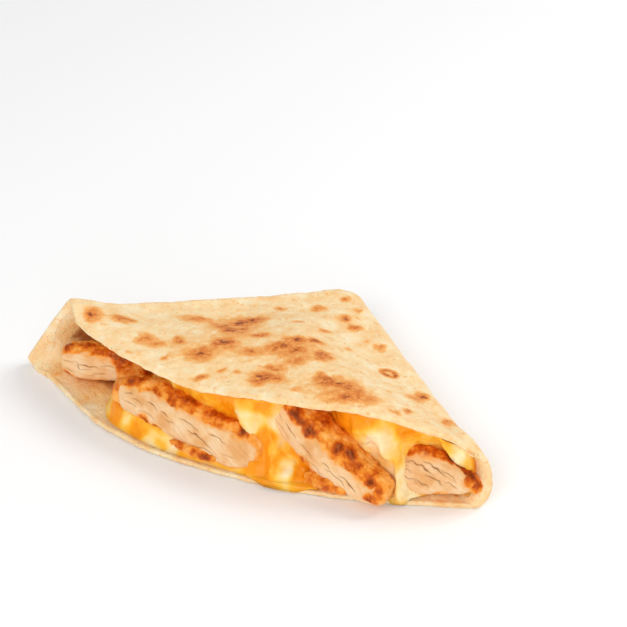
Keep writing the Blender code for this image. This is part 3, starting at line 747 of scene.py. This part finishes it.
def build_cheese(tree, material):
    """The filling: its back follows the sheet at each place along u, and its front runs and sags."""
    u = np.linspace(*CHEESE_SPAN, CHEESE_COLUMNS)
    depth = SHEET + CHEESE_GAP
    setback = along(CHEESE_BOTTOM_SETBACK, u)
    low = share_at(u, -1, np.maximum(setback, 0.3))
    high = share_at(u, 1, along(CHEESE_TOP_SETBACK, u))
    # the back lies against the sheet, from the lower rim round the fold to the upper rim
    step = np.linspace(0.0, 1.0, CHEESE_BACK_ROWS + 1)[None, :]
    v = low[:, None] + (high - low)[:, None] * step
    back = under_surface(np.broadcast_to(u[:, None], v.shape), v, np.full(v.shape, depth))
    outwards = bottom_rim(u) - fold_point(u)
    outwards /= np.linalg.norm(outwards, axis=1)[:, None]
    outwards = np.concatenate([outwards, np.zeros((len(u), 1))], 1)
    spilt = np.clip(0.3 - setback, 0.0, None)
    top, bottom = back[:, -1], back[:, 0] + outwards * spilt[:, None]
    bottom[:, 2] -= 1.8 * smooth(spilt / 0.6)
    # the front hangs from the upper edge (t = 0) and falls to the lower one (t = 1)
    t = np.linspace(0.0, 1.0, CHEESE_FRONT_ROWS + 1)[None, 1:]
    t = np.broadcast_to(t, (len(u), t.shape[1]))
    front = top[:, None] * (1 - t)[..., None] + bottom[:, None] * t[..., None]
    drop = (1.0 - t) ** along(CHEESE_FALL, u)[:, None]
    front[..., 2] = bottom[:, None, 2] + (top - bottom)[:, None, 2] * drop
    edge = smooth((1.0 - t) / HELD_BOTTOM)
    front[..., 2] += along(CHEESE_LIP, u)[:, None] * edge * smooth((t - 0.3) / 0.3)
    # it runs in thick, slow runs, and is hollow between its two edges
    bulge = np.sin(math.pi * np.clip(t, 0, 1) ** 1.4) ** 0.8
    free = np.sqrt(smooth(t / HELD_TOP)) * edge
    runs = np.stack([front[..., 0], front[..., 2] * 0.3, np.zeros(t.shape)], -1)
    flow = 0.9 * cloud(runs, 5.5, 9.0) + 0.5 * cloud(runs, 2.2, 10.0)
    for at_top, at_bottom, width, out in CHEESE_RUNS:
        line = at_top + (at_bottom - at_top) * t + 0.7 * np.sin(4.0 * t + at_top)
        flow = flow + out * np.exp(-(((front[..., 0] - line) / width) ** 2))
    hollow = along(CHEESE_HOLLOW, front[..., 0] - HOLLOW_DRIFT * t)
    front = front + outwards[:, None] * (flow * free - hollow * bulge)[..., None]
    ring = np.concatenate([back, front], 1)
    points, faces = closed_tube(ring)
    # the colours are drawn out in swirls
    drift = np.stack([cloud(points, SWIRL_WIDTH, seed) for seed in (15.0, 16.0, 17.0)], -1)
    swirled = points + SWIRL_DRIFT * drift
    cream = 0.38 + 0.5 * cloud(swirled * (1.0, 1.0, 0.45), 6.5, 12.0)
    for x, z, size, much in CHEESE_SHADES:
        away = np.hypot(swirled[:, 0] - x, swirled[:, 2] - z) / size
        cream = cream + 0.8 * much * np.exp(-(away**2))
    loose = np.concatenate([np.zeros(back.shape[:2]), free], 1).ravel()
    values = {"cream": np.clip(cream, 0.0, 1.0), "loose": np.append(loose, (0.0, 0.0))}
    piece = make_piece("melted_cheese_filling", points, faces, values)
    roughen(piece, tree, material, CHEESE_LUMPS)
    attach(piece, "root")
    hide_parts("melted_cheese")


# ---------------------------------------------------------------- the chicken

# Each piece of chicken: line is its centre line; wide and tall are half its width and height, from its first
# end (0) to its last (1); lean is how many degrees its cut face turns up; blunt says how square its ends are.
# crust is how high up the section the seared skin begins (-1 low edge, 1 top), and ends is how many mm of
# seared skin reach in from the first and the last end.
# splits are cracks between the fibres of the cut face: start and end as (mm along, height -1 to 1), and how
# deep. scorches are darker spots: mm along, degrees round from the face, size, rise, how dark.
STRIPS = {
    "chicken_strip_1": {
        "line": ((-54.4, -17.5, 7.3), (-44.0, -15.2, 7.7), (-32.0, -12.2, 8.2)),
        "wide": ((0.0, 4.2), (0.3, 4.8), (1.0, 4.6)),
        "tall": ((0.0, 4.3), (0.25, 5.0), (1.0, 5.0)),
        "lean": 22.0,
        "blunt": 6.0,
        "crust": 0.5,
        "ends": (0.5, 7.4),
        "splits": (
            (0.8, 0.0, 4.4, -0.04, 0.5), (5.0, -0.2, 12.0, -0.26, 0.8), (4.6, 0.1, 6.4, -0.5, 0.6),
            (6.4, -0.5, 10.0, -0.3, 0.6), (9.6, -0.7, 14.0, -0.5, 0.6), (1.0, -0.55, 4.6, -0.7, 0.4),
            (12.0, -0.1, 16.0, -0.14, 0.5),
        ),
        # this piece lies deep in the pocket, and its scorches are darkened partly as painted shade
        "scorches": (
            (1.8, 62, 2.2, 0.3, 0.9), (1.0, -50, 1.5, 0.1, 0.6), (7.5, 58, 2.6, 0.2, 0.6),
            (13.0, 50, 3.0, 0.1, 0.8), (17.0, 20, 2.6, 0.1, 0.9),
        ),
        "seed": 1,
    },
    "chicken_strip_2": {
        "line": (
            (-34.0, -26.2, 9.0), (-23.0, -27.4, 10.0), (-11.6, -29.8, 9.2), (0.0, -31.8, 7.6),
            (11.2, -32.6, 6.7),
        ),
        "wide": ((0.0, 4.4), (0.2, 5.0), (0.6, 4.6), (1.0, 3.8)),
        "tall": ((0.0, 4.2), (0.2, 5.7), (0.6, 6.2), (0.8, 6.4), (1.0, 5.4)),
        "lean": 26.0,
        "blunt": 4.0,
        "crust": 0.52,
        "ends": (4.4, 2.0),
        "splits": (
            (5.0, 0.16, 9.0, 0.12, 0.5), (8.0, -0.06, 12.0, -0.14, 0.7), (13.0, 0.06, 17.0, -0.02, 0.7),
            (17.5, 0.0, 20.5, -0.1, 0.6), (6.0, -0.3, 10.0, -0.38, 0.5), (11.0, -0.5, 17.5, -0.62, 0.5),
            (19.5, -0.26, 23.0, -0.4, 0.4), (23.0, 0.14, 29.5, 0.0, 0.9), (26.0, -0.2, 33.5, -0.42, 1.0),
            (31.5, 0.1, 37.0, 0.0, 0.7), (28.5, -0.62, 35.5, -0.74, 0.8), (36.0, -0.4, 40.0, -0.46, 0.4),
        ),
        "scorches": (
            (40.4, 60, 3.0, 1.7, 0.35), (40.0, 52, 1.5, -0.7, 1.0), (42.0, 70, 1.0, 0.2, 0.6),
            (1.6, 20, 2.2, 0.3, 0.8), (8.0, 62, 2.2, 0.3, 1.0), (15.5, 80, 1.6, 0.3, 0.7),
            (19.5, 56, 2.4, 0.3, 1.0), (24.0, 58, 1.8, 0.3, 0.9), (29.5, 60, 2.0, 0.35, 1.0),
            (33.5, 62, 2.2, 0.3, 0.95), (13.0, -58, 2.6, 0.0, 0.9), (17.5, -62, 2.0, 0.0, 0.9),
            (31.0, -66, 2.6, 0.0, 0.8),
        ),
        "seed": 2,
    },
    "chicken_strip_3": {
        "line": (
            (6.8, -21.6, 19.2), (16.6, -25.8, 16.6), (25.4, -28.9, 12.0), (31.7, -30.5, 9.0),
            (38.3, -31.5, 6.6), (45.1, -32.6, 5.8),
        ),
        "wide": ((0.0, 4.2), (0.3, 5.0), (0.8, 5.0), (1.0, 4.6)),
        "tall": ((0.0, 5.0), (0.2, 6.0), (0.4, 6.9), (0.6, 6.8), (0.76, 5.7), (0.9, 4.9), (1.0, 4.7)),
        "lean": 15.0,
        "blunt": 4.4,
        "crust": 0.34,
        "ends": (5.4, 4.4),
        "splits": (
            (2.5, -0.06, 8.5, -0.14, 0.8), (9.0, -0.16, 13.0, -0.24, 0.8), (7.0, -0.5, 12.0, -0.58, 0.4),
            (13.5, -0.26, 18.0, -0.3, 0.5), (16.0, -0.56, 23.0, -0.66, 0.6),
            (21.0, -0.16, 24.0, -0.22, 0.6), (22.5, -0.3, 31.0, -0.5, 1.0),
            (27.0, -0.16, 34.0, -0.36, 1.0), (25.5, -0.7, 32.0, -0.76, 0.9),
        ),
        "scorches": (
            (3.0, 60, 1.6, 0.3, 0.8), (7.5, 84, 2.0, 0.5, 0.9), (10.0, 32, 2.4, 0.6, 1.0),
            (14.0, 30, 2.2, 0.5, 0.9), (14.5, 76, 2.2, 0.5, 1.0), (20.0, 88, 1.8, 0.4, 0.6),
            (22.5, 40, 1.9, 0.5, 0.9), (26.5, 50, 2.2, 0.4, 0.9), (31.0, 44, 2.2, 0.6, 1.0),
            (37.5, 26, 1.6, 0.3, 0.9), (38.0, -20, 1.8, 0.2, 1.0), (37.0, 66, 1.8, 0.3, 0.9),
            (40.5, 8, 1.5, 0.2, 0.7), (17.0, -60, 2.8, 0.0, 0.9),
        ),
        "seed": 3,
    },
    "chicken_strip_4": {
        "line": (
            (38.2, -22.6, 6.4), (45.6, -23.4, 8.0), (52.6, -23.2, 8.3), (59.0, -21.9, 6.7),
            (64.8, -20.9, 4.8),
        ),
        "wide": ((0.0, 3.2), (0.3, 4.8), (0.7, 4.4), (0.9, 2.6), (1.0, 2.3)),
        "tall": ((0.0, 2.6), (0.18, 4.9), (0.38, 6.3), (0.55, 5.7), (0.78, 4.0), (0.9, 2.7), (1.0, 2.4)),
        "lean": 28.0,
        "blunt": 3.4,
        "crust": 0.66,
        "ends": (0.6, 4.0),
        "splits": (
            (4.0, -0.1, 10.0, -0.12, 0.45), (5.0, -0.5, 12.0, -0.56, 0.5), (8.0, 0.3, 14.5, -0.06, 0.85),
            (11.5, 0.42, 17.0, 0.02, 0.8), (12.5, -0.1, 17.0, -0.5, 0.7), (15.5, 0.26, 20.0, -0.1, 0.6),
            (10.0, -0.36, 14.0, -0.72, 0.5), (17.0, -0.3, 21.0, -0.5, 0.5), (6.0, 0.2, 9.0, 0.1, 0.35),
        ),
        "scorches": (
            (24.3, 20, 3.0, 0.7, 1.0), (21.5, 62, 2.4, 0.2, 0.8), (12.5, 66, 2.8, 0.3, 0.8),
            (17.0, 62, 2.2, 0.2, 0.75), (4.5, 58, 2.2, 0.2, 0.6),
        ),
        "seed": 4,
    },
    "chicken_crumb_1": {
        "line": ((-14.2, -34.6, 4.6), (0.4, -35.4, 4.2)),
        "wide": ((0.0, 1.9), (0.5, 2.2), (1.0, 1.8)),
        "tall": ((0.0, 1.5), (0.5, 1.9), (1.0, 1.4)),
        "lean": 0.0,
        "blunt": 2.6,
        "crust": -2.0,
        "ends": (1.5, 2.0),
        "splits": ((2.0, 0.2, 8.0, -0.1, 0.3),),
        "scorches": ((4.0, 20, 1.4, 0.2, 0.5), (8.0, 50, 1.8, 0.3, 0.6), (11.5, 10, 1.6, 0.2, 0.7)),
        "seed": 5,
    },
    "chicken_crumb_2": {
        "line": ((22.4, -33.0, 4.6), (35.2, -34.4, 4.4)),
        "wide": ((0.0, 1.9), (0.5, 2.3), (1.0, 1.8)),
        "tall": ((0.0, 1.5), (0.5, 2.1), (1.0, 1.6)),
        "lean": 0.0,
        "blunt": 2.6,
        "crust": -2.0,
        "ends": (1.5, 2.0),
        "splits": ((2.0, 0.2, 8.0, -0.1, 0.3),),
        "scorches": ((2.0, 30, 1.6, 0.2, 0.8), (7.0, 50, 1.8, 0.3, 0.7), (10.5, 0, 1.8, 0.2, 0.9)),
        "seed": 6,
    },
}
STEP_ALONG, STEP_ROUND = 0.23, 0.13  # mm from one point to the next, along a piece and round it
SQUARENESS = 2.7  # 2 is an ellipse, more is squarer
CUT_FACE = 0.86  # the cut face stands out less than the skin side
FIBRE_LONG, FIBRE_THICK = 7.0, 0.8  # mm that one lump of the grain noise takes up along and across the meat


def centre_line(line, t):
    """Points at the shares t of a smooth line through these points."""
    places = np.linspace(0.0, 1.0, len(line))
    return np.stack([along(list(zip(places, [p[i] for p in line])), t) for i in range(3)], -1)


def strip_bar(strip):
    """The bar that a piece of chicken is worked from, blunt at both ends, as rings of points."""
    path = centre_line(strip["line"], np.linspace(0.0, 1.0, 200))
    length = np.linalg.norm(np.diff(path, axis=0), axis=1).sum()
    biggest = max(max(value for _, value in strip[way]) for way in ("wide", "tall"))
    rows = max(int(length / STEP_ALONG), 24)
    columns = max(int(2 * math.pi * biggest / STEP_ROUND), 60)
    even = np.linspace(0.0, 1.0, rows + 2)[1:-1]
    closer_at_ends = 0.5 - 0.5 * np.cos(math.pi * even)
    t = (0.45 * closer_at_ends + 0.55 * even)[:, None]
    angle = np.linspace(-180.0, 180.0, columns, endpoint=False)[None, :]
    t, angle = np.broadcast_arrays(t, angle)
    blunt = strip["blunt"]
    size = (1.0 - np.abs(2 * t - 1) ** blunt) ** (1 / blunt)
    wide, tall = along(strip["wide"], t), along(strip["tall"], t)
    ahead = centre_line(strip["line"], np.clip(t + 0.01, 0, 1))
    ahead -= centre_line(strip["line"], np.clip(t - 0.01, 0, 1))
    ahead /= np.linalg.norm(ahead, axis=-1, keepdims=True)
    side = np.cross(ahead, (0.0, 0.0, 1.0))
    side /= np.linalg.norm(side, axis=-1, keepdims=True)
    up = np.cross(side, ahead)
    lean = math.radians(strip["lean"])
    side, up = side * math.cos(lean) + up * math.sin(lean), up * math.cos(lean) - side * math.sin(lean)
    facing, rising = np.cos(np.radians(angle)), np.sin(np.radians(angle))
    radius = (np.abs(facing) ** SQUARENESS + np.abs(rising) ** SQUARENESS) ** (-1 / SQUARENESS)
    across, height = facing * radius, rising * radius
    across = np.where(across > 0, CUT_FACE * across, across)
    offset = side * (across * wide)[..., None] + up * (height * tall)[..., None]
    points = centre_line(strip["line"], t) + offset * size[..., None]
    return SimpleNamespace(
        points=points,
        out=offset / np.linalg.norm(offset, axis=-1, keepdims=True),
        run=t * length,
        length=length,
        angle=angle,
        facing=facing,
        height=height,
        wide=wide,
        tall=tall,
        size=size,
        wobble=(cloud(points, 1.6, strip["seed"] + 20.0), cloud(points, 1.6, strip["seed"] + 21.0)),
    )


def seared_skin(strip, bar):
    """Where a piece is seared (the top and back, the low back edge and the ends), how dark, and its knobs.
    The low edge's brown is partly painted shade beneath the piece.
    """
    seed, height, run = strip["seed"], bar.height, bar.run
    wander = 0.24 * cloud(bar.points, 4.0, seed) + 0.12 * cloud(bar.points, 1.2, seed + 7)
    top = smooth((height + wander - strip["crust"]) / 0.42 + 0.5)
    back = smooth((-bar.facing - 0.1 + wander) / 0.35)
    # the low back edge is seared brown, and that brown is partly painted shade where the piece sits
    low = 0.85 * smooth((-height + wander - 0.88) / 0.12 + 0.3)
    sear = np.maximum(np.maximum(top, back), low)
    first, last = strip["ends"]
    sear = np.maximum(sear, smooth((first - run + 2.4 * wander) / 1.4))
    sear = np.maximum(sear, smooth((last - (bar.length - run) + 2.4 * wander) / 1.4))
    dark = 0.3 * np.clip(cloud(bar.points, 3.6, seed + 9) + 0.1, 0, 1) + 0.08
    # the skin is darker in places along its edge over the cut face
    skin_edge = np.exp(-(((height + wander - strip["crust"] - 0.16) / 0.16) ** 2)) * (bar.facing > 0)
    dark = dark + 0.2 * skin_edge * smooth(0.6 + 1.2 * cloud(bar.points, 2.6, seed + 11))
    mid_size = 0.5 * (np.mean(bar.wide) + np.mean(bar.tall))
    knob = np.zeros_like(run)
    for at, turn, spread, rise, much in strip["scorches"]:
        round_off = np.radians(bar.angle - turn) * mid_size + 0.5 * bar.wobble[1]
        off = np.hypot(run - at + 0.5 * bar.wobble[0], round_off)
        bell = np.exp(-((off / spread) ** 2))
        knob = knob + rise * bell
        dark = dark + much * bell * 0.62
        sear = np.maximum(sear, much * np.exp(-((off / spread) ** 4)))
    return sear, dark, knob


def split_marks(strip, bar):
    """How deep the splits cut at each point, how dark the shade painted into them is, and how far the nearest
    one is.
    """
    depth = np.zeros_like(bar.run)
    dark = np.zeros_like(bar.run)
    away = np.full_like(bar.run, 9.0)
    face = smooth((bar.facing - 0.05) / 0.25)
    tall = np.mean([value for _, value in strip["tall"]])
    x, y = bar.run + 0.5 * bar.wobble[0], bar.height * tall + 0.5 * bar.wobble[1]
    for x0, y0, x1, y1, deep in strip["splits"]:
        y0, y1 = y0 * tall, y1 * tall
        length = math.hypot(x1 - x0, y1 - y0)
        ax, ay = (x1 - x0) / length, (y1 - y0) / length
        share = np.clip(((x - x0) * ax + (y - y0) * ay) / length, 0.0, 1.0)
        bow = 0.07 * length * np.sin(math.pi * share)
        off_x = x - (x0 + ax * length * share - ay * bow)
        off_y = y - (y0 + ay * length * share + ax * bow)
        off = np.hypot(off_x, off_y)
        taper = np.sqrt(np.clip(np.sin(math.pi * np.clip(share, 0.02, 0.98)), 0, 1))
        depth = np.maximum(depth, 0.2 * deep * taper * np.exp(-((off / 0.16) ** 2)))
        # painted shade in the split
        dark = np.maximum(dark, taper * np.exp(-((off / 0.12) ** 2)) * min(1.0, 0.15 + deep))
        away = np.minimum(away, off + 2.0 * (1.0 - taper) + 1.6 * (1.0 - deep))
    return depth * face, dark * face, away


def build_strip(node, strip, tree, material):
    """A piece of chicken: a bent bar with a cracked, pale cut face and lumpy, seared skin round it."""
    seed, bar = strip["seed"], strip_bar(strip)
    points, run = bar.points, bar.run
    sear, char, knob = seared_skin(strip, bar)
    depth, dark, away = split_marks(strip, bar)
    bare = 1.0 - sear
    lobes = 0.13 * (1.0 - np.exp(-((away / 2.2) ** 2))) * smooth((bar.facing - 0.1) / 0.3)
    lump = 0.5 * cloud(points, 7.0, seed + 2) + 0.24 * cloud(points, 2.8, seed + 3)
    wrinkles = 0.25 - np.abs(cloud(points, 1.7, seed + 12))
    blisters = 0.28 * cloud(points, 1.9, seed + 4) + 0.2 * cloud(points, 0.9, seed + 5)
    bubbled = (blisters + 0.5 * wrinkles) * sear
    slope = 0.16 + 0.012 * run
    climb = (bar.height * bar.tall + slope * run * 0.6) / FIBRE_THICK
    grain = np.stack([run / FIBRE_LONG, climb, np.full_like(run, seed * 5.0)], -1)
    fibres = (0.04 * cloud(grain, 2.4, 1.0) + 0.02 * cloud(grain, 1.0, 2.0)) * bare
    rise = (lump + bubbled + fibres + knob + lobes * bare) * np.minimum(1.0, 1.4 * bar.size)
    rise = rise - depth * (0.3 + 0.7 * bare)
    skin, faces = closed_tube(points + bar.out * (rise - 0.25)[..., None], inside_out=True)

    def with_ends(values):
        return np.append(values.ravel(), (values[0].mean(), values[-1].mean()))

    values = {
        "sear": with_ends(np.clip(sear, 0, 1)),
        "char": with_ends(np.clip(char, 0, 1)),
        "crack": with_ends(np.clip(dark * (1.0 - 0.5 * sear), 0, 1)),
        "loose": with_ends(0.2 + 0.8 * sear),
    }
    piece = make_piece(node + "_meat", skin, faces, values)
    layer = piece.data.attributes.new("run", "FLOAT_VECTOR", "POINT")
    flows = np.concatenate([grain.reshape(-1, 3), grain[0].mean(0)[None], grain[-1].mean(0)[None]])
    layer.data.foreach_set("vector", flows.astype(np.float32).ravel())
    roughen(piece, tree, material, MEAT_LUMPS)
    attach(piece, "root")
    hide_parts(node)


# ---------------------------------------------------------------- floor, light and camera

CAMERA_TURN, CAMERA_RISE = 23.4, 35.0  # degrees of azimuth and elevation
CAMERA_DISTANCE, CAMERA_LENS = 494.5, 100.0
AIM_LEFT, AIM_FRONT = 5.5, 0.3  # how far the camera's aim lies to the left of 0 and in front of the apex
FLOOR_REACH = 3000.0  # mm from the middle of the floor to each side
WORLD_LIGHT = 0.56
# Lamps: name, azimuth and elevation in degrees, distance and size in m, power in W
LAMPS = (
    ("key", 130.0, 50.0, 0.8, 0.3, 2.6),
    ("front", -5.0, 42.0, 0.9, 0.4, 2.2),
    ("low front", 20.0, 16.0, 0.9, 0.4, 1.3),
)


def towards(turn, rise):
    """The direction from the object to something at this azimuth and elevation."""
    a, e = math.radians(turn), math.radians(rise)
    return Vector((math.sin(a) * math.cos(e), -math.cos(a) * math.cos(e), math.sin(e)))


def build_floor():
    corners = np.array([(-1, -1, 0), (1, -1, 0), (1, 1, 0), (-1, 1, 0)]) * FLOOR_REACH
    floor = make_piece("floor", corners, [(0, 1, 2, 3)])
    floor.data.materials.append(pale_floor())


def build_camera(aim):
    camera = bpy.data.objects.new("camera", bpy.data.cameras.new("camera"))
    bpy.context.scene.collection.objects.link(camera)
    back = towards(CAMERA_TURN, CAMERA_RISE)
    camera.location = aim + back * CAMERA_DISTANCE * MM
    camera.rotation_euler = back.to_track_quat("Z", "Y").to_euler()
    camera.data.lens = CAMERA_LENS
    camera.data.clip_start = 0.01
    bpy.context.scene.camera = camera


def soft_box(name, turn, rise, distance, size, power, aim):
    """A square lamp that shines at the aim."""
    lamp = bpy.data.lights.new(name, "AREA")
    lamp.shape = "SQUARE"
    lamp.size = size
    lamp.energy = power
    holder = bpy.data.objects.new(name, lamp)
    bpy.context.scene.collection.objects.link(holder)
    away = towards(turn, rise)
    holder.location = aim + away * distance
    holder.rotation_euler = away.to_track_quat("Z", "Y").to_euler()


def build_light(aim):
    world = bpy.data.worlds.new("studio")
    bpy.context.scene.world = world
    world.use_nodes = True
    world.node_tree.nodes["Background"].inputs["Color"].default_value = (1.0, 1.0, 1.0, 1.0)
    world.node_tree.nodes["Background"].inputs["Strength"].default_value = WORLD_LIGHT
    for lamp in LAMPS:
        soft_box(*lamp, aim)


def main():
    relief = relief_tree()
    dough, cheese, chicken = baked_dough(), melted_cheese_stuff(), griddled_chicken()
    build_tortilla(relief, dough)
    build_cheese(relief, cheese)
    for node, strip in STRIPS.items():
        build_strip(node, strip, relief, chicken)
    low, high = (Vector(corner) for corner in FRAME_BOX)
    build_floor()
    build_camera(Vector((-AIM_LEFT * MM, high.y - AIM_FRONT * MM, 0.0)))
    build_light(Vector(((low.x + high.x) / 2, (low.y + high.y) / 2, 0.0)))
    bpy.context.scene.view_settings.view_transform = "Standard"


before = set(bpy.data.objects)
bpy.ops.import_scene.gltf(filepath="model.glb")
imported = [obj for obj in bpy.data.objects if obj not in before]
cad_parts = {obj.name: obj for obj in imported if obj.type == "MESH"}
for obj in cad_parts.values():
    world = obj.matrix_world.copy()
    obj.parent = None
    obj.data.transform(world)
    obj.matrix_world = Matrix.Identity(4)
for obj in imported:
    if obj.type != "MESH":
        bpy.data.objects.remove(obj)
FRAME_BOX = [list(corner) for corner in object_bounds()]
main()
